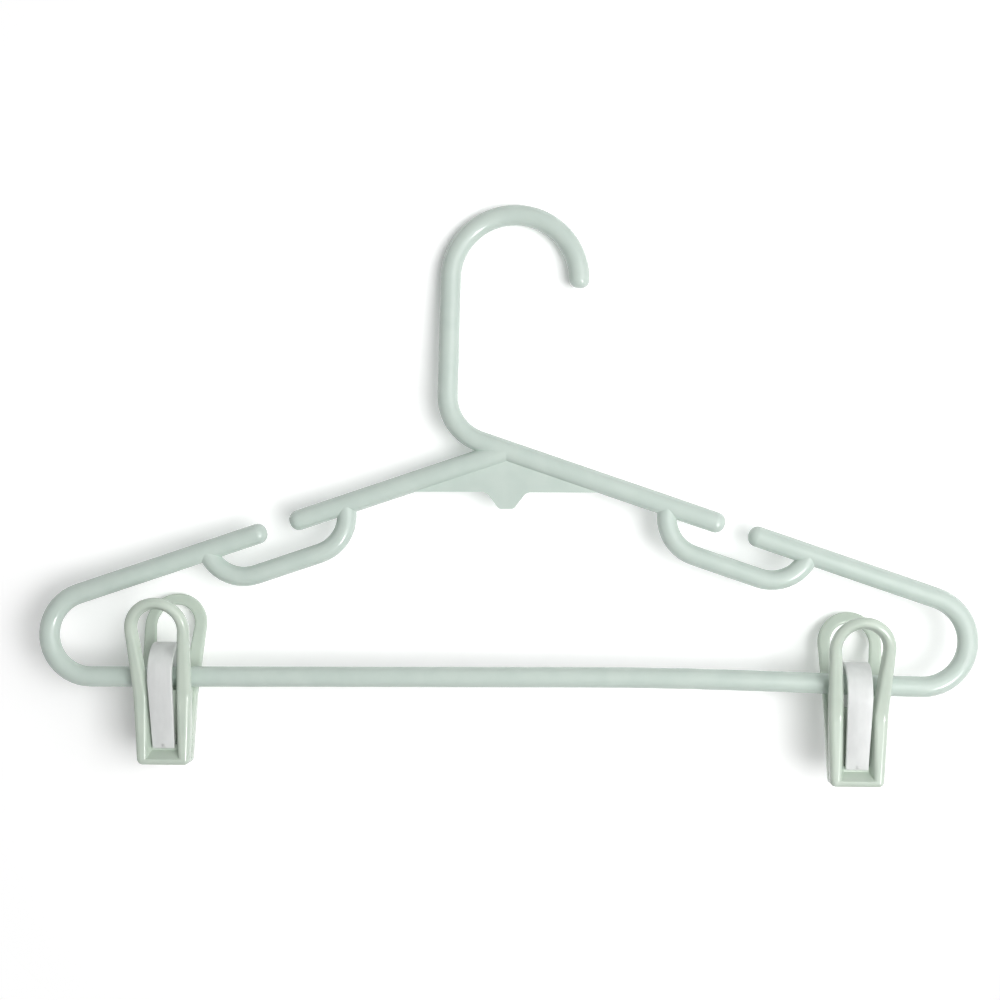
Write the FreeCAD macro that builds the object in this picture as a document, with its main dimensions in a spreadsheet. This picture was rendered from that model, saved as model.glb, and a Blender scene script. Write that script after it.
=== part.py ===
"""A skirt hanger: a moulded rod frame with a hook, and two spring clips that slide on its bottom bar.

+Z is up, +X runs along the bar and +Y points from front to back. The origin is the centre of the hook's arc,
where a rail carries the hanger. Lengths are in millimetres and angles in degrees.
"""

import FreeCAD
import Part
import Sketcher

import math
import os

Vector = FreeCAD.Vector

# Driving sizes: the name, the size and what it measures.
SIZES = [
    ("frame_width", 401.8, "frame, end to end"),
    ("apex_offset", 0.9, "from the middle of that width across to the apex"),
    ("rod_radius", 4.4, "radius of the frame's rod"),
    ("left_loop_radius", 18.3, "bend of the left end loop, on the rod's centre line"),
    ("right_loop_radius", 19.3, "bend of the right end loop, on the rod's centre line"),
    ("left_bar_slope", 0.45, "rise of the bar from the left loop, degrees"),
    ("right_bar_slope", 1.6, "rise of the bar from the right loop, degrees"),
    ("bar_bow", 2000.0, "bend where the bar's two slopes meet, on the rod's centre line"),
    ("arm_slope", 18.7, "slope of the arms, degrees"),
    ("hook_height", 171.8, "from the left loop's bottom up to the centre of the hook"),
    ("hook_offset", 3.2, "from the apex across to the centre of the hook"),
    ("hook_radius", 27.6, "bend of the hook, on the rod's centre line"),
    ("hook_end", 8.0, "how far the hook turns on below level at its tip, degrees"),
    ("stem_lean", 1.2, "lean of the hook's stem, degrees"),
    ("stem_bend", 20.5, "bend from the stem into the arm, on the rod's centre line"),
    ("tip_round", 3.9, "rounding of the rod's free tips"),
    ("strap_place", 103.6, "from the apex along the arm to the middle of the strap gap"),
    ("strap_gap", 10.8, "clear gap between the two tips over a strap slot"),
    ("bridge_radius", 4.2, "radius of the rod under a strap slot"),
    ("bridge_place", 104.6, "from the apex along the arm to the middle of that rod"),
    ("bridge_length", 57.5, "straight run of that rod, corner to corner, on its centre line"),
    ("bridge_drop", 16.4, "from the arm's centre line down to that rod's"),
    ("bridge_splay", 10.2, "lean of that rod's legs away from each other, degrees"),
    ("bridge_bend", 17.0, "bend of that rod, on its centre line"),
    ("gusset_drop", 17.8, "from the apex down to the gusset's straight edge"),
    ("gusset_thickness", 2.6, "thickness of the gusset"),
    ("tab_width", 17.0, "gusset tab, across its neck"),
    ("tab_nose", 6.4, "gusset tab, across its nose"),
    ("tab_height", 7.2, "gusset tab, from the straight edge to its nose"),
    ("tab_neck_round", 4.0, "hollow rounding at the tab's neck"),
    ("tab_nose_round", 2.2, "rounding at the tab's nose"),
    ("left_clip_inset", 32.85, "from the centre of the left loop in to the middle of the left clip"),
    ("right_clip_inset", 27.7, "from the centre of the right loop in to the middle of the right clip"),
    ("right_clip_drop", 12.8, "from the bar's centre line down to the right clip's fulcrum"),
    ("seat_clearance", 0.3, "between the bar and what it rests against in a clip"),
    ("jaw_height", 72.3, "clip jaw, top to bottom"),
    ("jaw_arch", 13.65, "outer radius of the jaw's arch"),
    ("jaw_foot", 22.5, "jaw, across its bottom"),
    ("jaw_corner", 2.6, "rounding of the jaw's bottom corners"),
    ("fulcrum_height", 29.9, "from the jaw's bottom up to the axis it rocks on"),
    ("flare", 22.0, "lean of the jaw's finger end away from the other jaw, degrees"),
    ("waist", 4.3, "from the clip's middle plane to the jaw's inside at the fulcrum"),
    ("limb", 4.6, "thickness of the jaw's flared limb"),
    ("foot_depth", 6.4, "thickness of the jaw at its bottom"),
    ("waist_bend", 15.0, "easing of the jaw's bend at the fulcrum"),
    ("grip_height", 14.0, "height of the jaw's gripping face"),
    ("grip_gap", 0.1, "from the clip's middle plane to a closed gripping face"),
    ("rim_round", 2.3, "rounding of the jaw's outer rim in front"),
    ("rim_back_round", 1.3, "rounding of the jaw's outer rim on the inside"),
    ("window_half", 4.7, "half width of the jaw's window at its sill, at the clip's middle plane"),
    ("window_arch", 2.1, "radius of the window's round top, at the clip's middle plane"),
    ("window_draft", 20.0, "slope of the window's flanks, degrees"),
    ("window_round", 1.7, "rounding of the window's rim in front"),
    ("window_back_round", 1.2, "rounding of the window's rim on the inside"),
    ("arch_drop", 1.2, "from the centre of the jaw's arch down to the centre of the window's"),
    ("sill_height", 7.4, "window's sill above the jaw's bottom at the clip's middle plane"),
    ("sill_slope", 36.0, "slope of the window's sill, degrees"),
    ("web_thickness", 1.8, "thickness of the web that closes the window's lower part"),
    ("web_rise", 2.4, "from the fulcrum up to the web's top edge"),
    ("web_width", 16.0, "web, across, with its ends inside the limbs"),
    ("web_slot_width", 1.3, "slots through the web beside the spring's foot, across"),
    ("web_slot_height", 5.0, "slots through the web, top to bottom"),
    ("web_slot_place", 11.0, "middle of those slots above the jaw's bottom"),
    ("tooth_first", 2.6, "first gripping groove above the jaw's bottom"),
    ("tooth_pitch", 2.5, "step from one gripping groove to the next"),
    ("tooth_depth", 0.9, "depth of a gripping groove"),
    ("tooth_width", 1.5, "mouth of a gripping groove"),
    ("knuckle_radius", 1.8, "radius of the knuckle that the jaws rock on"),
    ("knuckle_clearance", 0.08, "between a knuckle and its socket"),
    ("socket_wall", 0.9, "wall of a knuckle's socket"),
    ("socket_lip", 0.5, "from the clip's middle plane to the socket's lips"),
    ("ear_place", 8.7, "from the clip's middle across to the middle of a knuckle or socket"),
    ("ear_width", 4.6, "length of a knuckle or socket along the bar"),
    ("spring_width", 10.6, "width of the spring strip"),
    ("spring_foot_width", 9.6, "width of the spring strip at its feet"),
    ("spring_thickness", 2.1, "thickness of the spring strip"),
    ("spring_bend", 12.2, "bend of the spring, on the strip's centre line"),
    ("spring_rise", 9.2, "from the fulcrum up to the centre of the spring's bend"),
    ("spring_foot_height", 7.0, "spring's feet above the jaw's bottom"),
    ("spring_clearance", 0.15, "between a spring foot and the web that it presses"),
    ("overrun", 5.0, "how far a cut runs past the solid"),
]
TOOTH_COUNT = 5

# Two places closer than this are the same place.
TOUCHING = 1e-4
# A knuckle's neck is this much of its thickness.
NECK_SHARE = 0.75
# A face looks one way when its normal's part along it is more than this.
FACING_SHARE = 0.9
# A face slopes one way when its normal's part along it is more than this.
SLOPING_SHARE = 0.5
# An edge is sharp when its two faces differ by more than this angle, in radians.
SHARP_ANGLE = 0.2

doc = FreeCAD.newDocument("skirt_hanger")
sheet = doc.addObject("Spreadsheet::Sheet", "Sizes")
for row, (alias, size, meaning) in enumerate(SIZES, start=1):
    sheet.set(f"A{row}", meaning)
    sheet.set(f"B{row}", str(size))
    sheet.setAlias(f"B{row}", alias)
doc.recompute()


def number(expression):
    """The value of an expression in the sheet's sizes."""
    return float(sheet.evalExpression(expression))


def drive(sketch, constraint, expression):
    """Add a dimension and bind it to an expression."""
    index = sketch.addConstraint(constraint)
    sketch.setExpression(f"Constraints[{index}]", expression)


def pin(sketch, geometry, position, across, up):
    """Bind a point's place in its sketch to two expressions."""
    for kind, expression in (("DistanceX", across), ("DistanceY", up)):
        drive(sketch, Sketcher.Constraint(kind, -1, 1, geometry, position, number(expression)), expression)


def sketch_on(body, name, role, offset=None):
    """A sketch on one of the body's origin planes, moved along the plane's normal by an expression."""
    plane = [feature for feature in body.Origin.OriginFeatures if feature.Role == role][0]
    sketch = body.newObject("Sketcher::SketchObject", name)
    sketch.AttachmentSupport = [(plane, "")]
    sketch.MapMode = "FlatFace"
    if offset:
        sketch.setExpression("AttachmentOffset.Base.z", offset)
    return sketch


def rounded_chain(sketch, corners, closed=False):
    """Draw straight runs through corners (across, up, rounding), with a tangent arc at each rounded corner."""
    points = [Vector(number(across), number(up), 0) for across, up, rounding in corners]
    count = len(points)
    runs = count if closed else count - 1
    headings = [(points[(run + 1) % count] - points[run]).normalize() for run in range(runs)]

    def setback(corner):
        rounding = corners[corner][2]
        if not rounding:
            return 0.0
        turn = headings[corner - 1].getAngle(headings[corner])
        return number(rounding) * math.tan(turn / 2)

    lines = []
    arcs = {}
    for run in range(runs):
        following = (run + 1) % count
        start = points[run] + headings[run] * setback(run)
        end = points[following] - headings[run] * setback(following)
        lines.append(sketch.addGeometry(Part.LineSegment(start, end)))
        if corners[following][2]:
            radius = number(corners[following][2])
            left_turn = headings[run].cross(headings[following]).z > 0
            inward = Vector(-headings[run].y, headings[run].x, 0) * (1 if left_turn else -1)
            centre = end + inward * radius
            leave = points[following] + headings[following] * setback(following)
            first, last = (end, leave) if left_turn else (leave, end)
            angles = [math.atan2((point - centre).y, (point - centre).x) for point in (first, last)]
            circle = Part.Circle(centre, Vector(0, 0, 1), radius)
            arcs[following] = (sketch.addGeometry(Part.ArcOfCircle(circle, *angles)), left_turn)

    if not closed:
        pin(sketch, lines[0], 1, *corners[0][:2])
        pin(sketch, lines[-1], 2, *corners[-1][:2])
    for corner in range(count) if closed else range(1, count - 1):
        arriving = lines[corner - 1]
        leaving = lines[corner]
        if corner not in arcs:
            sketch.addConstraint(Sketcher.Constraint("Coincident", arriving, 2, leaving, 1))
            pin(sketch, leaving, 1, *corners[corner][:2])
            continue
        arc, left_turn = arcs[corner]
        entry, exit_end = (1, 2) if left_turn else (2, 1)
        sketch.addConstraint(Sketcher.Constraint("Tangent", arriving, 2, arc, entry))
        sketch.addConstraint(Sketcher.Constraint("Tangent", arc, exit_end, leaving, 1))
        drive(sketch, Sketcher.Constraint("Radius", arc, number(corners[corner][2])), corners[corner][2])
        mark = sketch.addGeometry(Part.Point(points[corner]), True)
        pin(sketch, mark, 1, *corners[corner][:2])
        sketch.addConstraint(Sketcher.Constraint("PointOnObject", mark, 1, arriving))
        sketch.addConstraint(Sketcher.Constraint("PointOnObject", mark, 1, leaving))


def arch_outline(sketch, half_foot, foot, radius, centre):
    """Draw a closed arch: a level foot, two straight sides and a round top that the sides run into."""
    half_value, foot_value, radius_value, centre_value = map(number, (half_foot, foot, radius, centre))
    rise = centre_value - foot_value
    lean = math.asin(radius_value / math.hypot(half_value, rise)) - math.atan2(half_value, rise)
    shoulder = Vector(radius_value * math.cos(lean), centre_value - radius_value * math.sin(lean), 0)
    right_foot = Vector(half_value, foot_value, 0)
    left_foot = Vector(-half_value, foot_value, 0)
    circle = Part.Circle(Vector(0, centre_value, 0), Vector(0, 0, 1), radius_value)
    base = sketch.addGeometry(Part.LineSegment(left_foot, right_foot))
    right = sketch.addGeometry(Part.LineSegment(right_foot, shoulder))
    top = sketch.addGeometry(Part.ArcOfCircle(circle, -lean, math.pi + lean))
    left = sketch.addGeometry(Part.LineSegment(Vector(-shoulder.x, shoulder.y, 0), left_foot))
    sketch.addConstraint(Sketcher.Constraint("Coincident", base, 2, right, 1))
    sketch.addConstraint(Sketcher.Constraint("Tangent", right, 2, top, 1))
    sketch.addConstraint(Sketcher.Constraint("Tangent", top, 2, left, 1))
    sketch.addConstraint(Sketcher.Constraint("Coincident", left, 2, base, 1))
    pin(sketch, base, 1, f"-({half_foot})", foot)
    pin(sketch, base, 2, half_foot, foot)
    pin(sketch, top, 3, "0", centre)
    drive(sketch, Sketcher.Constraint("Radius", top, radius_value), radius)


def circle_at(sketch, across, up, radius):
    """Draw a circle whose place and radius follow expressions."""
    centre = Vector(number(across), number(up), 0)
    circle = sketch.addGeometry(Part.Circle(centre, Vector(0, 0, 1), number(radius)))
    pin(sketch, circle, 3, across, up)
    drive(sketch, Sketcher.Constraint("Radius", circle, number(radius)), radius)


def box_at(sketch, left, right, bottom, top):
    """Draw an upright rectangle between four expressions."""
    corners = [(left, bottom, None), (right, bottom, None), (right, top, None), (left, top, None)]
    rounded_chain(sketch, corners, closed=True)


def extrude(body, kind, name, sketch, length):
    """A pad or pocket that reaches equally to both sides of its sketch."""
    before = body.Shape.Volume if body.Tip else 0.0
    feature = body.newObject(f"PartDesign::{kind}", name)
    feature.Profile = sketch
    feature.SideType = "Symmetric"
    feature.setExpression("Length", length)
    doc.recompute()
    change = body.Shape.Volume - before
    if (change <= 0) if kind == "Pad" else (change >= 0):
        raise RuntimeError(f"{name} changed nothing")
    return feature


def sweep(body, name, path, radius):
    """A round rod along a sketched path."""
    section = body.newObject("Sketcher::SketchObject", f"{name}_section")
    section.AttachmentSupport = [(path, "Edge1")]
    section.MapMode = "NormalToEdge"
    circle_at(section, "0", "0", radius)
    doc.recompute()
    pipe = body.newObject("PartDesign::AdditivePipe", name)
    pipe.Profile = section
    pipe.Spine = (path, [f"Edge{index}" for index in range(1, len(path.Shape.Edges) + 1)])
    doc.recompute()


def round_edges(body, name, edges, radius):
    """Round the named edges of the body's last feature."""
    base = body.Tip
    fillet = body.newObject("PartDesign::Fillet", name)
    fillet.Base = (base, edges)
    fillet.setExpression("Radius", radius)
    doc.recompute()


def sharp_edges(shape, looking):
    """The sharp edges around the faces that look one way, but for those along an upward slope."""
    names = []
    for index, edge in enumerate(shape.Edges, start=1):
        faces = shape.ancestorsOfType(edge, Part.Face)
        if len(faces) != 2:
            continue
        middle = edge.valueAt((edge.FirstParameter + edge.LastParameter) / 2)
        normals = [face.normalAt(*face.Surface.parameter(middle)) for face in faces]
        faces_there = max(normal.dot(looking) for normal in normals) > FACING_SHARE
        sloping = any(normal.z > SLOPING_SHARE for normal in normals)
        if faces_there and not sloping and normals[0].getAngle(normals[1]) > SHARP_ANGLE:
            names.append(f"Edge{index}")
    return names


def minus(expression):
    """The expression with its sign turned."""
    return f"-({expression})"


# The frame is drawn from the apex's middle line and the bottom of the left loop.
HALF_WIDTH = "Sizes.frame_width / 2 - Sizes.rod_radius"
LEFT_LOOP = f"({HALF_WIDTH} + Sizes.apex_offset - Sizes.left_loop_radius)"
RIGHT_LOOP = f"({HALF_WIDTH} - Sizes.apex_offset - Sizes.right_loop_radius)"
# The apex is where the two arms' lines meet.
APEX = f"(Sizes.left_loop_radius * (1 + 1 / cos(Sizes.arm_slope)) + {LEFT_LOOP} * tan(Sizes.arm_slope))"


def on_arm(side, along, below="0"):
    """A place on an arm: a distance from the apex along it, and a distance square to it on its lower side."""
    across = f"({along}) * cos(Sizes.arm_slope) - ({below}) * sin(Sizes.arm_slope)"
    up = f"{APEX} - ({along}) * sin(Sizes.arm_slope) - ({below}) * cos(Sizes.arm_slope)"
    return f"{side} * ({across})", up


def bar_end(word, loop):
    """Where the bar's line from one end loop meets that arm's line: across from the middle line, and up."""
    radius = f"Sizes.{word}_loop_radius"
    slope = f"Sizes.{word}_bar_slope"
    lengths = f"(1 / cos(Sizes.arm_slope) + 1 / cos({slope}))"
    across = f"({loop} + {radius} * {lengths} / (tan(Sizes.arm_slope) - tan({slope})))"
    return across, f"({APEX} - {across} * tan(Sizes.arm_slope))"


LEFT_END, LEFT_END_LEVEL = bar_end("left", LEFT_LOOP)
RIGHT_END, RIGHT_END_LEVEL = bar_end("right", RIGHT_LOOP)
# The bar is highest where its two slopes meet.
CROWN = (
    f"(({RIGHT_END_LEVEL} + {RIGHT_END} * tan(Sizes.right_bar_slope) - {LEFT_END_LEVEL}"
    f" - {LEFT_END} * tan(Sizes.left_bar_slope)) / (tan(Sizes.left_bar_slope) + tan(Sizes.right_bar_slope)))"
)
CROWN_LEVEL = f"({LEFT_END_LEVEL} + ({LEFT_END} + {CROWN}) * tan(Sizes.left_bar_slope))"


def make_frame():
    """The one-piece moulded frame: bar, end loops, arms with strap slots, gusset and hook."""
    body = doc.addObject("PartDesign::Body", "hanger_frame")
    body.Label = "hanger_frame"
    inner_tip = "(Sizes.strap_place - Sizes.strap_gap / 2)"
    outer_tip = "(Sizes.strap_place + Sizes.strap_gap / 2)"

    # One rod runs from strap gap to strap gap by way of both end loops and the bar.
    lower = sketch_on(body, "lower_path", "XZ_Plane")
    rounded_chain(
        lower,
        [
            (*on_arm(-1, outer_tip), None),
            (minus(LEFT_END), LEFT_END_LEVEL, "Sizes.left_loop_radius"),
            (CROWN, CROWN_LEVEL, "Sizes.bar_bow"),
            (RIGHT_END, RIGHT_END_LEVEL, "Sizes.right_loop_radius"),
            (*on_arm(1, outer_tip), None),
        ],
    )
    sweep(body, "lower_rod", lower, "Sizes.rod_radius")

    # A U of rod under each strap gap carries the arm on to its inner part.
    near_corner = "(Sizes.bridge_place - Sizes.bridge_length / 2)"
    far_corner = "(Sizes.bridge_place + Sizes.bridge_length / 2)"
    splay = "(Sizes.bridge_drop * tan(Sizes.bridge_splay))"
    for side, word in ((-1, "left"), (1, "right")):
        bridge = sketch_on(body, f"{word}_bridge_path", "XZ_Plane")
        rounded_chain(
            bridge,
            [
                (*on_arm(side, f"{far_corner} + {splay}"), None),
                (*on_arm(side, far_corner, "Sizes.bridge_drop"), "Sizes.bridge_bend"),
                (*on_arm(side, near_corner, "Sizes.bridge_drop"), "Sizes.bridge_bend"),
                (*on_arm(side, f"{near_corner} - {splay}"), None),
            ],
        )
        sweep(body, f"{word}_bridge", bridge, "Sizes.bridge_radius")

    # The right arm bends up into the hook's stem, and the left arm runs into it at the apex.
    stem_top = (
        "(Sizes.hook_offset - Sizes.hook_radius * cos(Sizes.stem_lean))",
        "(Sizes.hook_height + Sizes.hook_radius * sin(Sizes.stem_lean))",
    )
    drop = (
        f"(({stem_top[1]} - {APEX} + tan(Sizes.arm_slope) * {stem_top[0]})"
        " / (cos(Sizes.stem_lean) + tan(Sizes.arm_slope) * sin(Sizes.stem_lean)))"
    )
    stem_corner = (
        f"({stem_top[0]} - {drop} * sin(Sizes.stem_lean))",
        f"({stem_top[1]} - {drop} * cos(Sizes.stem_lean))",
    )
    stem = sketch_on(body, "stem_path", "XZ_Plane")
    rounded_chain(
        stem,
        [(*on_arm(1, inner_tip), None), (*stem_corner, "Sizes.stem_bend"), (*stem_top, None)],
    )
    sweep(body, "right_arm_and_stem", stem, "Sizes.rod_radius")
    left_arm = sketch_on(body, "left_arm_path", "XZ_Plane")
    rounded_chain(left_arm, [(*on_arm(-1, inner_tip), None), ("0", APEX, None)])
    sweep(body, "left_arm", left_arm, "Sizes.rod_radius")

    # The hook is the rod turned about its centre: from level over the top to the stem, and down to its tip.
    section = sketch_on(body, "hook_section", "XY_Plane", "Sizes.hook_height")
    section.setExpression("AttachmentOffset.Base.x", "Sizes.hook_offset")
    circle_at(section, "Sizes.hook_radius", "0", "Sizes.rod_radius")
    turns = (("hook", True, "180 - Sizes.stem_lean"), ("hook_tip", False, "Sizes.hook_end"))
    for word, backwards, turn in turns:
        arc = body.newObject("PartDesign::Revolution", word)
        arc.Profile = section
        arc.ReferenceAxis = (section, ["V_Axis"])
        arc.Reversed = backwards
        arc.setExpression("Angle", turn)
        doc.recompute()

    # A thin gusset with a tab fills the corner under the apex.
    gusset = sketch_on(body, "gusset_outline", "XZ_Plane")
    edge = f"({APEX} - Sizes.gusset_drop)"
    nose = f"({edge} - Sizes.tab_height)"
    reach = "(Sizes.gusset_drop / tan(Sizes.arm_slope))"
    rounded_chain(
        gusset,
        [
            ("0", APEX, None),
            (minus(reach), edge, None),
            ("-Sizes.tab_width / 2", edge, "Sizes.tab_neck_round"),
            ("-Sizes.tab_nose / 2", nose, "Sizes.tab_nose_round"),
            ("Sizes.tab_nose / 2", nose, "Sizes.tab_nose_round"),
            ("Sizes.tab_width / 2", edge, "Sizes.tab_neck_round"),
            (reach, edge, None),
        ],
        closed=True,
    )
    extrude(body, "Pad", "gusset", gusset, "Sizes.gusset_thickness")

    # The rod's five free tips are the only flat discs of its own radius.
    disc = math.pi * number("Sizes.rod_radius") ** 2
    tips = []
    for face in body.Shape.Faces:
        is_disc = isinstance(face.Surface, Part.Plane) and len(face.Edges) == 1
        if is_disc and math.isclose(face.Area, disc, rel_tol=1e-4):
            tips += [index for index, edge in enumerate(body.Shape.Edges, 1) if edge.isSame(face.Edges[0])]
    round_edges(body, "tips", [f"Edge{index}" for index in tips], "Sizes.tip_round")

    body.setExpression("Placement.Base.x", "-Sizes.hook_offset")
    body.setExpression("Placement.Base.z", "-Sizes.hook_height")
    return body


# A clip is drawn about the middle of its fulcrum. These are heights and depths from there.
JAW_BOTTOM = "(-Sizes.fulcrum_height)"
JAW_TOP = "(Sizes.jaw_height - Sizes.fulcrum_height)"
GRIP_TOP = f"({JAW_BOTTOM} + Sizes.grip_height)"
LIMB_DEPTH = "(Sizes.limb / cos(Sizes.flare))"
WEB_DEPTH = "(Sizes.web_thickness / cos(Sizes.flare))"
SOCKET_RADIUS = "(Sizes.knuckle_radius + Sizes.knuckle_clearance)"
SOCKET_OUTSIDE = f"({SOCKET_RADIUS} + Sizes.socket_wall)"
# The left clip has the bar on its sockets, and the right one has it higher, nearer to its spring's bend.
LEFT_DROP = f"({SOCKET_OUTSIDE} + Sizes.seat_clearance + Sizes.rod_radius)"
LEFT_CLIP = (
    f"(Sizes.left_clip_inset - {LEFT_LOOP})",
    f"(Sizes.left_clip_inset * tan(Sizes.left_bar_slope) - {LEFT_DROP})",
)
RIGHT_CLIP = (
    f"({RIGHT_LOOP} - Sizes.right_clip_inset)",
    f"({RIGHT_END_LEVEL} + ({RIGHT_END} - {RIGHT_LOOP} + Sizes.right_clip_inset) * tan(Sizes.right_bar_slope)"
    " - Sizes.right_clip_drop)",
)


def place_in_clip(body, clip):
    """Put a clip piece at its clip's fulcrum."""
    across, up = clip
    body.setExpression("Placement.Base.x", f"{across} - Sizes.hook_offset")
    body.setExpression("Placement.Base.z", f"{up} - Sizes.hook_height")


def make_jaw(label, clip, turned):
    """One clip jaw, drawn as a front jaw. The rear jaw is the same moulding, turned about the vertical."""
    body = doc.addObject("PartDesign::Body", label)
    body.Label = label

    # The jaw's side view: a gripping face, a hollow back, a bend at the fulcrum and a flared finger end.
    top_inside = f"(-Sizes.waist - {JAW_TOP} * tan(Sizes.flare))"
    profile = sketch_on(body, "side_profile", "YZ_Plane")
    rounded_chain(
        profile,
        [
            ("-Sizes.grip_gap", JAW_BOTTOM, None),
            ("-Sizes.grip_gap", GRIP_TOP, "Sizes.waist_bend"),
            ("-Sizes.waist", "0", "Sizes.waist_bend"),
            (top_inside, JAW_TOP, None),
            (f"{top_inside} - {LIMB_DEPTH}", JAW_TOP, None),
            (f"-Sizes.waist - {LIMB_DEPTH}", "0", "Sizes.waist_bend"),
            ("-Sizes.foot_depth", JAW_BOTTOM, None),
        ],
        closed=True,
    )
    extrude(body, "Pad", "slab", profile, "2 * Sizes.jaw_arch + 2 * Sizes.overrun")

    # The front view trims the slab to an arch on two slightly tapering sides.
    depth = f"({JAW_TOP} * tan(Sizes.flare) + Sizes.waist + {LIMB_DEPTH} + Sizes.overrun)"
    arch_centre = f"({JAW_TOP} - Sizes.jaw_arch)"
    trim = sketch_on(body, "front_outline", "XZ_Plane")
    arch_outline(trim, "Sizes.jaw_foot / 2", JAW_BOTTOM, "Sizes.jaw_arch", arch_centre)
    wide = "(Sizes.jaw_arch + 2 * Sizes.overrun)"
    box_at(trim, minus(wide), wide, f"{JAW_BOTTOM} - Sizes.overrun", f"{JAW_TOP} + Sizes.overrun")
    extrude(body, "Pocket", "front_trim", trim, f"2 * {depth}")

    # Bottom corners, then the outer rim, front and inside.
    corners = []
    for index, edge in enumerate(body.Shape.Edges, start=1):
        low = math.isclose(edge.BoundBox.ZMax, number(JAW_BOTTOM), abs_tol=TOUCHING)
        if low and edge.BoundBox.XLength < TOUCHING:
            corners.append(f"Edge{index}")
    round_edges(body, "bottom_corners", corners, "Sizes.jaw_corner")
    round_edges(body, "rim", sharp_edges(body.Shape, Vector(0, -1, 0)), "Sizes.rim_round")
    round_edges(body, "rim_back", sharp_edges(body.Shape, Vector(0, 1, 0)), "Sizes.rim_back_round")

    # The window narrows towards the middle plane, and its sill slopes.
    window_centre = f"({arch_centre} - Sizes.arch_drop)"
    sill = f"({JAW_BOTTOM} + Sizes.sill_height)"
    widening = f"({depth} * tan(Sizes.window_draft))"
    inner = sketch_on(body, "window_inside", "XZ_Plane")
    arch_outline(inner, "Sizes.window_half", sill, "Sizes.window_arch", window_centre)
    outer = sketch_on(body, "window_outside", "XZ_Plane", depth)
    arch_outline(
        outer,
        f"(Sizes.window_half + {widening})",
        f"({sill} - {depth} * tan(Sizes.sill_slope))",
        f"(Sizes.window_arch + {widening})",
        window_centre,
    )
    doc.recompute()
    window = body.newObject("PartDesign::SubtractiveLoft", "window")
    window.Profile = inner
    window.Sections = [outer]
    window.Ruled = True
    doc.recompute()
    round_edges(body, "window_rim", sharp_edges(body.Shape, Vector(0, -1, 0)), "Sizes.window_round")

    # A web closes the window below the bar, with a slot on each side of the spring's foot.
    web_inside = "(-Sizes.waist - Sizes.web_rise * tan(Sizes.flare))"
    web_foot = f"({JAW_BOTTOM} + Sizes.sill_height / 2)"
    web = sketch_on(body, "web_profile", "YZ_Plane")
    rounded_chain(
        web,
        [
            ("-Sizes.grip_gap", web_foot, None),
            ("-Sizes.grip_gap", GRIP_TOP, "Sizes.waist_bend"),
            ("-Sizes.waist", "0", "Sizes.waist_bend"),
            (web_inside, "Sizes.web_rise", None),
            (f"{web_inside} - {WEB_DEPTH}", "Sizes.web_rise", None),
            (f"-Sizes.waist - {WEB_DEPTH}", "0", "Sizes.waist_bend"),
            ("-Sizes.grip_gap - Sizes.web_thickness", GRIP_TOP, "Sizes.waist_bend"),
            ("-Sizes.grip_gap - Sizes.web_thickness", web_foot, None),
        ],
        closed=True,
    )
    extrude(body, "Pad", "web", web, "Sizes.web_width")
    round_edges(body, "window_rim_back", sharp_edges(body.Shape, Vector(0, 1, 0)), "Sizes.window_back_round")
    web_front = "(Sizes.grip_gap + Sizes.web_thickness)"
    slot_middle = f"({JAW_BOTTOM} + Sizes.web_slot_place)"
    slot_edge = f"(Sizes.window_half + {web_front} * tan(Sizes.window_draft))"
    slots = sketch_on(body, "web_slot_outlines", "XZ_Plane")
    for mirror in (-1, 1):
        box_at(
            slots,
            f"{mirror} * ({slot_edge} - Sizes.web_slot_width)",
            f"{mirror} * {slot_edge}",
            f"{slot_middle} - Sizes.web_slot_height / 2",
            f"{slot_middle} + Sizes.web_slot_height / 2",
        )
    extrude(body, "Pocket", "web_slots", slots, f"2 * {web_front} + 2 * Sizes.seat_clearance")

    # Grooves across the gripping face.
    teeth = sketch_on(body, "grooves", "YZ_Plane")
    for tooth in range(TOOTH_COUNT):
        height = f"({JAW_BOTTOM} + Sizes.tooth_first + {tooth} * Sizes.tooth_pitch)"
        rounded_chain(
            teeth,
            [
                ("0", f"{height} - Sizes.tooth_width / 2", None),
                ("0", f"{height} + Sizes.tooth_width / 2", None),
                ("-Sizes.grip_gap - Sizes.tooth_depth", height, None),
            ],
            closed=True,
        )
    extrude(body, "Pocket", "grip", teeth, "Sizes.jaw_foot + 2 * Sizes.overrun")

    # A knuckle on one limb and an open socket on the other, both on the fulcrum's axis.
    root = "(-Sizes.waist - Sizes.limb / 2)"
    neck = f"(Sizes.knuckle_radius * {NECK_SHARE})"
    lips = "-Sizes.socket_lip"
    past = f"({SOCKET_OUTSIDE} + Sizes.overrun)"
    for word, place, radius in (
        ("knuckle", "Sizes.ear_place", "Sizes.knuckle_radius"),
        ("socket", "-Sizes.ear_place", SOCKET_OUTSIDE),
    ):
        stalk = sketch_on(body, f"{word}_stalk_outline", "YZ_Plane", place)
        box_at(stalk, root, lips, minus(neck), neck)
        extrude(body, "Pad", f"{word}_stalk", stalk, "Sizes.ear_width")
        outline = sketch_on(body, f"{word}_outline", "YZ_Plane", place)
        circle_at(outline, "0", "0", radius)
        extrude(body, "Pad", word, outline, "Sizes.ear_width")
    mouth = sketch_on(body, "socket_mouth_outline", "YZ_Plane", "-Sizes.ear_place")
    box_at(mouth, lips, past, minus(past), past)
    extrude(body, "Pocket", "socket_mouth", mouth, "Sizes.ear_width")
    bore = sketch_on(body, "socket_bore_outline", "YZ_Plane", "-Sizes.ear_place")
    circle_at(bore, "0", "0", SOCKET_RADIUS)
    extrude(body, "Pocket", "socket_bore", bore, "Sizes.ear_width")

    place_in_clip(body, clip)
    if turned:
        body.Placement.Rotation = FreeCAD.Rotation(Vector(0, 0, 1), 180)
    return body


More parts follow.
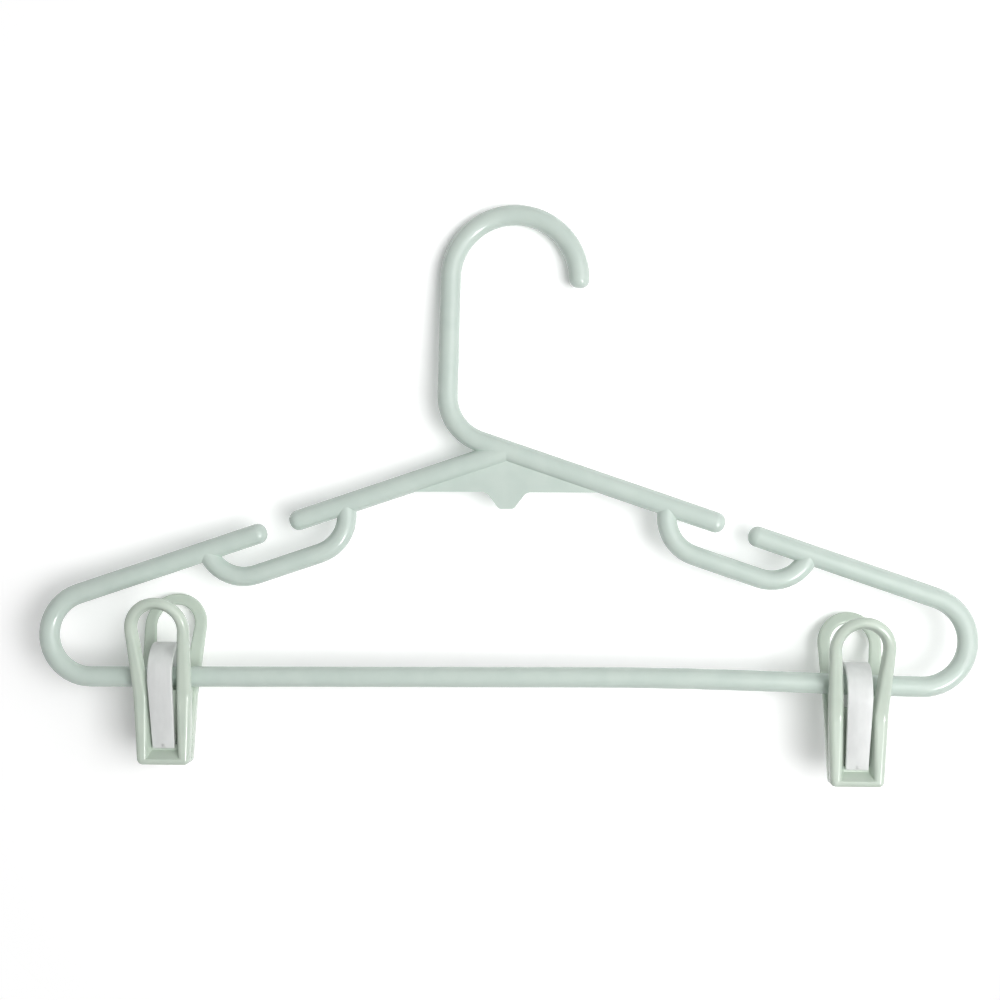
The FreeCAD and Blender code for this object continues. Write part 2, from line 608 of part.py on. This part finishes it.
def strip_outline(sketch, foot_depth, foot):
    """Draw the spring's side view: a bend of more than half a turn with a straight leg on each side."""
    inner_bend = "(Sizes.spring_bend - Sizes.spring_thickness / 2)"
    outer_bend = "(Sizes.spring_bend + Sizes.spring_thickness / 2)"
    rise, depth, low = map(number, ("Sizes.spring_rise", foot_depth, foot))
    lean = math.asin(number(inner_bend) / math.hypot(depth, rise - low)) - math.atan2(depth, rise - low)
    outer_depth = depth + number("Sizes.spring_thickness") / math.cos(lean)
    centre = Vector(0, rise, 0)
    legs = []
    for bend, foot_place in ((inner_bend, depth), (outer_bend, outer_depth)):
        radius = number(bend)
        circle = Part.Circle(centre, Vector(0, 0, 1), radius)
        arc = sketch.addGeometry(Part.ArcOfCircle(circle, -lean, math.pi + lean))
        pin(sketch, arc, 3, "0", "Sizes.spring_rise")
        drive(sketch, Sketcher.Constraint("Radius", arc, radius), bend)
        for mirror, arc_end in ((-1, 2), (1, 1)):
            shoulder = centre + Vector(mirror * math.cos(lean), -math.sin(lean), 0) * radius
            leg = sketch.addGeometry(Part.LineSegment(Vector(mirror * foot_place, low, 0), shoulder))
            sketch.addConstraint(Sketcher.Constraint("Tangent", leg, 2, arc, arc_end))
            legs.append(leg)
    for mirror, inner_leg, outer_leg in ((-1, legs[0], legs[2]), (1, legs[1], legs[3])):
        ends = [Vector(mirror * place, low, 0) for place in (depth, outer_depth)]
        sole = sketch.addGeometry(Part.LineSegment(*ends))
        sketch.addConstraint(Sketcher.Constraint("Coincident", sole, 1, inner_leg, 1))
        sketch.addConstraint(Sketcher.Constraint("Coincident", sole, 2, outer_leg, 1))
        sketch.addConstraint(Sketcher.Constraint("Parallel", inner_leg, outer_leg))
        sketch.addConstraint(Sketcher.Constraint("Horizontal", sole))
        pin(sketch, sole, 1, f"{mirror} * {foot_depth}", foot)


def make_spring(label, clip):
    """The clip's spring: a moulded strip bent over the bar, whose two feet press the webs together."""
    body = doc.addObject("PartDesign::Body", label)
    body.Label = label
    foot = f"({JAW_BOTTOM} + Sizes.spring_foot_height)"
    outline = sketch_on(body, "spring_outline", "YZ_Plane")
    strip_outline(outline, "(Sizes.grip_gap + Sizes.web_thickness + Sizes.spring_clearance)", foot)
    extrude(body, "Pad", "strip", outline, "Sizes.spring_width")

    # The strip narrows from its bend to its feet.
    half_foot = "(Sizes.spring_foot_width / 2)"
    half_width = "(Sizes.spring_width / 2)"
    wide = "(Sizes.spring_width / 2 + Sizes.overrun)"
    low = f"({foot} - Sizes.overrun)"
    taper = sketch_on(body, "taper", "XZ_Plane")
    for mirror in (-1, 1):
        rounded_chain(
            taper,
            [
                (f"{mirror} * {half_foot}", low, None),
                (f"{mirror} * {wide}", low, None),
                (f"{mirror} * {wide}", "Sizes.spring_rise", None),
                (f"{mirror} * {half_width}", "Sizes.spring_rise", None),
                (f"{mirror} * {half_foot}", foot, None),
            ],
            closed=True,
        )
    extrude(body, "Pocket", "tapered_feet", taper, "4 * Sizes.spring_bend")
    place_in_clip(body, clip)
    return body


pieces = [make_frame()]
for word, clip in (("left", LEFT_CLIP), ("right", RIGHT_CLIP)):
    pieces.append(make_jaw(f"{word}_clip_front_jaw", clip, turned=False))
    pieces.append(make_jaw(f"{word}_clip_rear_jaw", clip, turned=True))
    pieces.append(make_spring(f"{word}_clip_spring", clip))
doc.recompute()

for item in doc.Objects:
    if "Invalid" in item.State or "Error" in item.State:
        raise RuntimeError(f"{item.Label} could not be made")
for piece in pieces:
    shape = piece.Shape
    if shape.isNull() or not shape.isValid() or len(shape.Solids) != 1:
        raise RuntimeError(f"{piece.Label} is not one sound solid")

os.makedirs("parts", exist_ok=True)
for piece in pieces:
    piece.Shape.exportStep(f"parts/{piece.Label}.step")
    box = piece.Shape.BoundBox
    spans = (box.XLength, box.YLength, box.ZLength)
    print(piece.Label, [round(span, 2) for span in spans], round(piece.Shape.Volume, 1))
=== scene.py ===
"""A mint-green moulded skirt hanger with two sprung clips, lying on a white table and seen from above."""

import math

import bmesh
import bpy
from mathutils import Matrix, Vector


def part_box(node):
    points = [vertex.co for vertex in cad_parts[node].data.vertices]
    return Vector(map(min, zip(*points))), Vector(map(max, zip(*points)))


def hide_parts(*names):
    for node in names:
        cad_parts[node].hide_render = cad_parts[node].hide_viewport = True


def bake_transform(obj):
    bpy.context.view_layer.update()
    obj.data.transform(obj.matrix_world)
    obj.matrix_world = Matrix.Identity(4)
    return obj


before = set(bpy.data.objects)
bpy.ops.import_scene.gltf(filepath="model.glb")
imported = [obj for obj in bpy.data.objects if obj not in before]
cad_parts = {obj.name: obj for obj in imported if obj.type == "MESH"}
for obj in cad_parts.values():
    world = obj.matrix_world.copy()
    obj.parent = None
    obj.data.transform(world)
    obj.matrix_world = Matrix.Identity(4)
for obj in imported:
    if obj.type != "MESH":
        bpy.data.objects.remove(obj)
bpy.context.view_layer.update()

# Places and sizes are in metres.
MM = 0.001
QUARTER_TURN = math.radians(90)

# Each clip's spring is a strip that is bent over the bar on a round, whose radius is taken at mid thickness.
# The strip narrows to its feet, and their inner faces lie this far from the clip's middle plane.
SPRING_THICKNESS = 2.1 * MM
SPRING_BEND = 12.2 * MM
SPRING_FOOT_WIDTH = 9.6 * MM
SPRING_FOOT_FACE = 2.05 * MM
BEND_STEPS = 20
LEG_CUTS = 14

# Edges of a spring that turn by more than this angle are rounded.
SPRING_EDGE = 0.55 * MM
EDGE_STEPS = 4
EDGE_ANGLE = math.radians(50)

# The mould's gate leaves a small upright nub on each foot, a little above the sole.
GATE_WIDTH = 1.3 * MM
GATE_HEIGHT = 1.8 * MM
GATE_RISE = 0.12 * MM
GATE_INSET = 0.4 * MM
GATE_EDGE = 0.8 * GATE_RISE
GATE_EDGE_STEPS = 2

# A face this near the plane between a spring's two halves lies in it, and corners this near are one corner.
SEAM_TOLERANCE = 0.1 * MM
WELD = 0.001 * MM

# A smooth surface shows a crease where it turns by more than this angle.
CREASE_ANGLE = math.radians(40)

# The table lies just clear of the hanger's back. Its paint sends on a share of the light,
# and a larger share where it is seen, so that it shows white.
TABLE_SIZE = 4.0
TABLE_GAP = 0.1 * MM
TABLE_PAINT = 0.85
TABLE_SEEN = 1.24

# The table keeps its shadows up to the first distance from the hanger's middle. They fade out from there,
# and past the second distance it is plain white.
MIDDLE = (-0.003, 0.0, -0.1)
SHADOW_REACH = 0.235
WHITE_REACH = 0.31

# The pale room lights the hanger with the first strength and is seen with the second.
ROOM_LIGHT = 0.28
ROOM_SEEN = 1.0

# The camera looks nearly straight down on the table, from a little to the right of and below the hanger's
# middle. Its lens and sensor are in millimetres, and its roll in radians.
CAMERA_PLACE = (0.0264, -0.7388, -0.1064)
CAMERA_AIM = (-0.0059, 0.0, -0.0947)
CAMERA_ROLL = 0.0057
CAMERA_LENS = 62.18
CAMERA_SENSOR = 36.0


def linear(hex_colour):
    """Turn an sRGB hex colour into the linear red, green, blue and alpha that shaders use."""
    shares = [int(hex_colour[i:i + 2], 16) / 255 for i in (1, 3, 5)]
    return [s / 12.92 if s <= 0.04045 else ((s + 0.055) / 1.055) ** 2.4 for s in shares] + [1.0]


def add_node(tree, kind, inputs=None, **settings):
    """Add a node, set its properties, and give each named or numbered input a value or a link."""
    node = tree.nodes.new("ShaderNode" + kind)
    for name, value in settings.items():
        setattr(node, name, value)
    for name, value in (inputs or {}).items():
        if isinstance(value, bpy.types.NodeSocket):
            tree.links.new(value, node.inputs[name])
        else:
            node.inputs[name].default_value = value
    return node


def new_material(name):
    """Start a material with an empty node tree and return it with its tree."""
    material = bpy.data.materials.new(name)
    material.use_nodes = True
    material.node_tree.nodes.clear()
    return material, material.node_tree


def per_metre(millimetres):
    """A texture's scale for a pattern whose features are this many millimetres apart."""
    return 1 / (millimetres * MM)


def moulded_polypropylene(name, deep, pale, parting_line):
    """Mint polypropylene from a polished mould: an even, slightly milky green with small bright glints,
    a faint ripple that breaks them up, a few dust specks and, if asked for, the mould's parting line."""
    material, tree = new_material(name)
    place = add_node(tree, "TexCoord").outputs["Object"]

    # The pigment is never quite evenly mixed, in clouds of about 9 mm.
    clouds = add_node(tree, "TexNoise", {"Vector": place, "Scale": per_metre(9), "Detail": 2.0})
    pigment = add_node(tree, "ValToRGB", {"Fac": clouds.outputs["Fac"]})
    pigment.color_ramp.elements[0].position = 0.35
    pigment.color_ramp.elements[0].color = linear(deep)
    pigment.color_ramp.elements[1].position = 0.65
    pigment.color_ramp.elements[1].color = linear(pale)

    # Dust specks of about 0.5 mm, some 20 mm apart.
    dust = add_node(tree, "TexVoronoi", {"Vector": place, "Scale": per_metre(20)})
    speck = add_node(tree, "MapRange", {
        "Value": dust.outputs["Distance"],
        "From Min": 0.011, "From Max": 0.017,
        "To Min": 0.55, "To Max": 0.0,
    })
    colour = add_node(tree, "Mix", {
        0: speck.outputs[0], 6: pigment.outputs["Color"], 7: linear("#77857B")}, data_type="RGBA")

    # The mould's polish varies a little over a few millimetres.
    polish = add_node(tree, "TexNoise", {"Vector": place, "Scale": per_metre(4), "Detail": 3.0})
    roughness = add_node(tree, "MapRange", {
        "Value": polish.outputs["Fac"],
        "From Min": 0.3, "From Max": 0.7,
        "To Min": 0.17, "To Max": 0.22,
    })

    # A ripple 6 mm long from cooling, under a grain of 0.5 mm from the mould.
    ripple = add_node(tree, "TexNoise", {"Vector": place, "Scale": per_metre(6), "Detail": 1.0})
    grain = add_node(tree, "TexNoise", {"Vector": place, "Scale": per_metre(0.5), "Detail": 2.0})
    rippled = add_node(tree, "Bump", {
        "Height": ripple.outputs["Fac"], "Strength": 0.3, "Distance": 0.1 * MM})
    surface = add_node(tree, "Bump", {
        "Height": grain.outputs["Fac"], "Strength": 0.35, "Distance": 0.008 * MM,
        "Normal": rippled.outputs["Normal"]})

    if parting_line:
        # The two mould halves met in the hanger's middle plane, in a line 0.3 mm wide.
        axes = add_node(tree, "SeparateXYZ", {0: place})
        depth = add_node(tree, "Math", {0: axes.outputs["Y"]}, operation="ABSOLUTE")
        ridge = add_node(tree, "MapRange", {
            "Value": depth.outputs[0],
            "From Min": 0.06 * MM, "From Max": 0.18 * MM,
            "To Min": 1.0, "To Max": 0.0,
        })
        surface = add_node(tree, "Bump", {
            "Height": ridge.outputs[0], "Strength": 0.6, "Distance": 0.06 * MM,
            "Normal": surface.outputs["Normal"]})

    shader = add_node(tree, "BsdfPrincipled", {
        "Base Color": colour.outputs[2],
        "Roughness": roughness.outputs[0],
        "IOR": 1.49,
        "Subsurface Weight": 0.12,
        "Subsurface Radius": (1.0, 1.0, 0.9),
        "Subsurface Scale": 1.2 * MM,
        "Normal": surface.outputs["Normal"],
    })
    add_node(tree, "OutputMaterial", {"Surface": shader.outputs[0]})
    return material


def moulded_acetal():
    """White acetal from a mould: a white that lets a little light in, with a smooth waxy sheen
    and flow clouds along the strip."""
    material, tree = new_material("moulded_acetal_white")
    place = add_node(tree, "TexCoord").outputs["Object"]

    # Flow clouds, 3 mm wide and four times as tall, where the melt ran along the strip.
    drawn = add_node(tree, "Mapping", {"Vector": place, "Scale": (1.0, 1.0, 0.25)})
    flow = add_node(tree, "TexNoise", {"Vector": drawn.outputs[0], "Scale": per_metre(3), "Detail": 2.0})
    colour = add_node(tree, "ValToRGB", {"Fac": flow.outputs["Fac"]})
    colour.color_ramp.elements[0].position = 0.3
    colour.color_ramp.elements[0].color = linear("#D8DAD9")
    colour.color_ramp.elements[1].position = 0.7
    colour.color_ramp.elements[1].color = linear("#DFE1E0")

    # The sheen follows the flow, over a fine ripple 2.5 mm long.
    roughness = add_node(tree, "MapRange", {
        "Value": flow.outputs["Fac"],
        "From Min": 0.3, "From Max": 0.7,
        "To Min": 0.3, "To Max": 0.4,
    })
    ripple = add_node(tree, "TexNoise", {"Vector": place, "Scale": per_metre(2.5), "Detail": 2.0})
    surface = add_node(tree, "Bump", {
        "Height": ripple.outputs["Fac"], "Strength": 0.4, "Distance": 0.04 * MM})
    shader = add_node(tree, "BsdfPrincipled", {
        "Base Color": colour.outputs[0],
        "Roughness": roughness.outputs[0],
        "IOR": 1.48,
        "Subsurface Weight": 0.3,
        "Subsurface Radius": (1.0, 1.0, 1.0),
        "Subsurface Scale": 1.5 * MM,
        "Normal": surface.outputs["Normal"],
    })
    add_node(tree, "OutputMaterial", {"Surface": shader.outputs[0]})
    return material


def seen_ray(tree):
    """A link that is 1 on a ray that shows a surface, straight to the camera or by way of a gloss or a glass,
    and 0 on a ray that only lights one."""
    ray = add_node(tree, "LightPath")
    seen = ray.outputs["Is Camera Ray"]
    for kind in ("Is Glossy Ray", "Is Transmission Ray"):
        seen = add_node(tree, "Math", {0: seen, 1: ray.outputs[kind]}, operation="MAXIMUM").outputs[0]
    return seen


def painted_table():
    """Matt white painted board: it takes the hanger's soft shadow, is plain white elsewhere,
    and is open from behind, so that the back of the hanger can be seen and is lit."""
    material, tree = new_material("matt_white_paint")
    seen = seen_ray(tree)
    share = add_node(tree, "MapRange", {"Value": seen, "To Min": TABLE_PAINT, "To Max": TABLE_SEEN})
    paint = add_node(tree, "BsdfDiffuse", {"Color": share.outputs[0]})

    # Where it is seen away from the hanger, the board shows an even white.
    place = add_node(tree, "TexCoord").outputs["Object"]
    reach = add_node(tree, "VectorMath", {0: place, 1: MIDDLE}, operation="DISTANCE")
    far = add_node(tree, "MapRange", {
        "Value": reach.outputs["Value"], "From Min": SHADOW_REACH, "From Max": WHITE_REACH})
    bare = add_node(tree, "Math", {0: far.outputs[0], 1: seen}, operation="MULTIPLY")
    white_sheet = add_node(tree, "Emission", {"Color": linear("#FFFFFF"), "Strength": 1.0})
    front = add_node(tree, "MixShader", {0: bare.outputs[0], 1: paint.outputs[0], 2: white_sheet.outputs[0]})

    # Views from behind and the lamps' light go through it.
    behind = add_node(tree, "NewGeometry").outputs["Backfacing"]
    shadow = add_node(tree, "LightPath").outputs["Is Shadow Ray"]
    opening = add_node(tree, "Math", {0: behind, 1: shadow}, operation="MAXIMUM")
    clear = add_node(tree, "BsdfTransparent")
    surface = add_node(tree, "MixShader", {
        0: opening.outputs[0], 1: front.outputs[0], 2: clear.outputs[0]})
    add_node(tree, "OutputMaterial", {"Surface": surface.outputs[0]})
    return material


def add_object(name, data):
    """Put a mesh, a lamp or a camera into the scene."""
    item = bpy.data.objects.new(name, data)
    bpy.context.scene.collection.objects.link(item)
    return item


def finish_piece(shape, name, material):
    """Turn a bmesh into a smooth object at the origin."""
    bmesh.ops.remove_doubles(shape, verts=shape.verts, dist=WELD)
    bmesh.ops.recalc_face_normals(shape, faces=shape.faces)
    mesh = bpy.data.meshes.new(name)
    shape.to_mesh(mesh)
    shape.free()
    mesh.materials.append(material)
    mesh.polygons.foreach_set("use_smooth", [True] * len(mesh.polygons))
    mesh.set_sharp_from_angle(angle=CREASE_ANGLE)
    return add_object(name, mesh)


def spring_half(node, name, side, material):
    """Half of a clip's spring, from the middle of its crown to one foot.
    The side is -1 for the front half and 1 for the rear half."""
    low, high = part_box(node)
    middle = (low.x + high.x) / 2
    width = high.x - low.x
    crown = Vector((middle, 0, high.z - SPRING_BEND - SPRING_THICKNESS / 2))
    inner_bend = SPRING_BEND - SPRING_THICKNESS / 2
    drop = crown.z - low.z
    lean = math.asin(inner_bend / math.hypot(SPRING_FOOT_FACE, drop)) - math.atan2(SPRING_FOOT_FACE, drop)

    # The strip's cross-section stands on the crown, and turns down round the bend to the shoulder.
    shape = bmesh.new()
    section = Matrix.Translation(crown + Vector((0, 0, SPRING_BEND)))
    section = section @ Matrix.Rotation(QUARTER_TURN, 4, "X")
    section = section @ Matrix.Diagonal((width, SPRING_THICKNESS, 1, 1))
    bmesh.ops.create_grid(shape, x_segments=1, y_segments=1, size=0.5, matrix=section)
    turned = bmesh.ops.spin(
        shape, geom=shape.faces[:], cent=crown, axis=(1, 0, 0), dvec=(0, 0, 0),
        angle=-side * (QUARTER_TURN + lean), steps=BEND_STEPS)
    shoulder = [f for f in turned["geom_last"] if isinstance(f, bmesh.types.BMFace)]

    # The leg runs straight on to the foot, narrows on its way and ends level.
    leg = bmesh.ops.extrude_face_region(shape, geom=shoulder)
    foot = [v for v in leg["geom"] if isinstance(v, bmesh.types.BMVert)]
    bmesh.ops.delete(shape, geom=shoulder, context="FACES_ONLY")
    for vert in foot:
        fall = vert.co.z - low.z
        vert.co += Vector((0, -side * math.tan(lean) * fall, -fall))
        vert.co.x = middle + (vert.co.x - middle) * SPRING_FOOT_WIDTH / width

    # Its long edges and its sole's edges are rounded, but not those in the plane where the two halves meet,
    # which is opened for this.
    bmesh.ops.recalc_face_normals(shape, faces=shape.faces)
    cap = [f for f in shape.faces if all(abs(v.co.y) < SEAM_TOLERANCE for v in f.verts)]
    bmesh.ops.delete(shape, geom=cap, context="FACES_ONLY")
    hard = [e for e in shape.edges if not e.is_boundary and e.calc_face_angle() > EDGE_ANGLE]
    bmesh.ops.bevel(
        shape, geom=hard, offset=SPRING_EDGE, affect="EDGES", segments=EDGE_STEPS, profile=0.5, material=-1)

    # The leg is cut across into bands, and the open plane is closed again.
    along = [e for e in shape.edges if abs(e.verts[0].co.z - e.verts[1].co.z) > drop / 2]
    bmesh.ops.subdivide_edges(shape, edges=along, cuts=LEG_CUTS, use_grid_fill=True)
    bmesh.ops.edgeloop_fill(shape, edges=[e for e in shape.edges if e.is_boundary])

    # The gate's nub stands on the outside of the leg, half sunk into it.
    sole_depth = SPRING_FOOT_FACE + SPRING_THICKNESS / math.cos(lean)
    nub = Matrix.Translation((middle, side * sole_depth, low.z + GATE_INSET))
    nub = nub @ Matrix.Rotation(-side * lean, 4, "X")
    nub = nub @ Matrix.Translation((0, 0, GATE_HEIGHT / 2))
    nub = nub @ Matrix.Diagonal((GATE_WIDTH, 2 * GATE_RISE, GATE_HEIGHT, 1))
    corners = bmesh.ops.create_cube(shape, size=1, matrix=nub)["verts"]
    rims = [e for e in shape.edges if e.verts[0] in corners]
    bmesh.ops.bevel(
        shape, geom=rims, offset=GATE_EDGE, affect="EDGES",
        segments=GATE_EDGE_STEPS, profile=0.5, material=-1)
    return finish_piece(shape, name, material)


def lay_table():
    """Lay the board against the back of the hook and the rear arches of the clips."""
    hook_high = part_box("hanger_frame")[1]
    arch_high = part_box("left_clip_rear_jaw")[1]
    tilt = math.atan2(arch_high.y - hook_high.y, hook_high.z - arch_high.z)
    board = bmesh.new()
    bmesh.ops.create_grid(board, x_segments=1, y_segments=1, size=TABLE_SIZE / 2)
    stand = Matrix.Translation((0, hook_high.y + TABLE_GAP, hook_high.z))
    stand = stand @ Matrix.Rotation(QUARTER_TURN + tilt, 4, "X")
    bmesh.ops.transform(board, matrix=stand, verts=board.verts)
    mesh = bpy.data.meshes.new("table")
    board.to_mesh(mesh)
    board.free()
    mesh.materials.append(painted_table())
    table = add_object("table", mesh)


def add_lamp(name, place, size, watts, shading=True, mirrored=True):
    """Hang a square soft box that faces the hanger's middle. It can be for shading or reflections alone."""
    lamp = bpy.data.lights.new(name, "AREA")
    lamp.size = size
    lamp.energy = watts
    holder = add_object(name, lamp)
    holder.location = place
    holder.rotation_euler = (Vector(MIDDLE) - Vector(place)).to_track_quat("-Z", "Y").to_euler()
    holder.visible_diffuse = shading
    holder.visible_glossy = mirrored


def light_room():
    """Surround the scene with an even white."""
    room = bpy.data.worlds.new("pale_room")
    room.use_nodes = True
    tree = room.node_tree
    tree.nodes.clear()
    strength = add_node(tree, "MapRange", {
        "Value": seen_ray(tree), "To Min": ROOM_LIGHT, "To Max": ROOM_SEEN})
    walls = add_node(tree, "Background", {"Color": linear("#FFFFFF"), "Strength": strength.outputs[0]})
    add_node(tree, "OutputWorld", {"Surface": walls.outputs[0]})
    bpy.context.scene.world = room


def add_camera():
    """Set up the camera, which rolls about its own line of sight."""
    lens = bpy.data.cameras.new("camera")
    lens.sensor_width = CAMERA_SENSOR
    lens.lens = CAMERA_LENS
    camera = add_object("camera", lens)
    sight = Vector(CAMERA_AIM) - Vector(CAMERA_PLACE)
    turn = sight.to_track_quat("-Z", "Y").to_matrix().to_4x4()
    camera.matrix_world = Matrix.Translation(CAMERA_PLACE) @ turn @ Matrix.Rotation(CAMERA_ROLL, 4, "Z")
    bpy.context.scene.camera = camera


# Every solid gets its plastic. The frame and the jaws show as they are, and the springs are replaced below.
frame_mint = moulded_polypropylene(
    "moulded_polypropylene_mint_frame", deep="#C4D2CA", pale="#C9D6CE", parting_line=True)
clip_mint = moulded_polypropylene(
    "moulded_polypropylene_mint_clips", deep="#C3D0C3", pale="#C8D4C7", parting_line=False)
white = moulded_acetal()
for node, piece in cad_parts.items():
    if node == "hanger_frame":
        plastic = frame_mint
    elif node.endswith("spring"):
        plastic = white
    else:
        plastic = clip_mint
    piece.data.materials.clear()
    piece.data.materials.append(plastic)

# Each spring is rebuilt as two halves, a front and a rear, each from the middle of its crown to one foot.
for hand in ("left", "right"):
    clip = f"{hand}_clip"
    node = f"{clip}_spring"
    for end, side in (("front", -1), ("rear", 1)):
        half = spring_half(node, f"{node}_{end}_leg", side, white)
        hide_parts(node)
        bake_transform(half)

lay_table()

# Two soft boxes on the right light the hanger, and only the larger one is mirrored in it.
# A small one further down gives it its glints and nothing else, and one behind lights its back.
add_lamp("side_soft_box", place=(0.66, -0.95, -0.14), size=1.0, watts=6.3)
add_lamp("low_soft_box", place=(0.40, -1.04, -0.20), size=0.55, watts=6.0, mirrored=False)
add_lamp("glint_lamp", place=(0.62, -0.80, -0.66), size=0.25, watts=6.0, shading=False)
add_lamp("back_light", place=(0.3, 1.2, 0.3), size=1.0, watts=6.0)

light_room()
add_camera()
bpy.context.scene.view_settings.view_transform = "Standard"
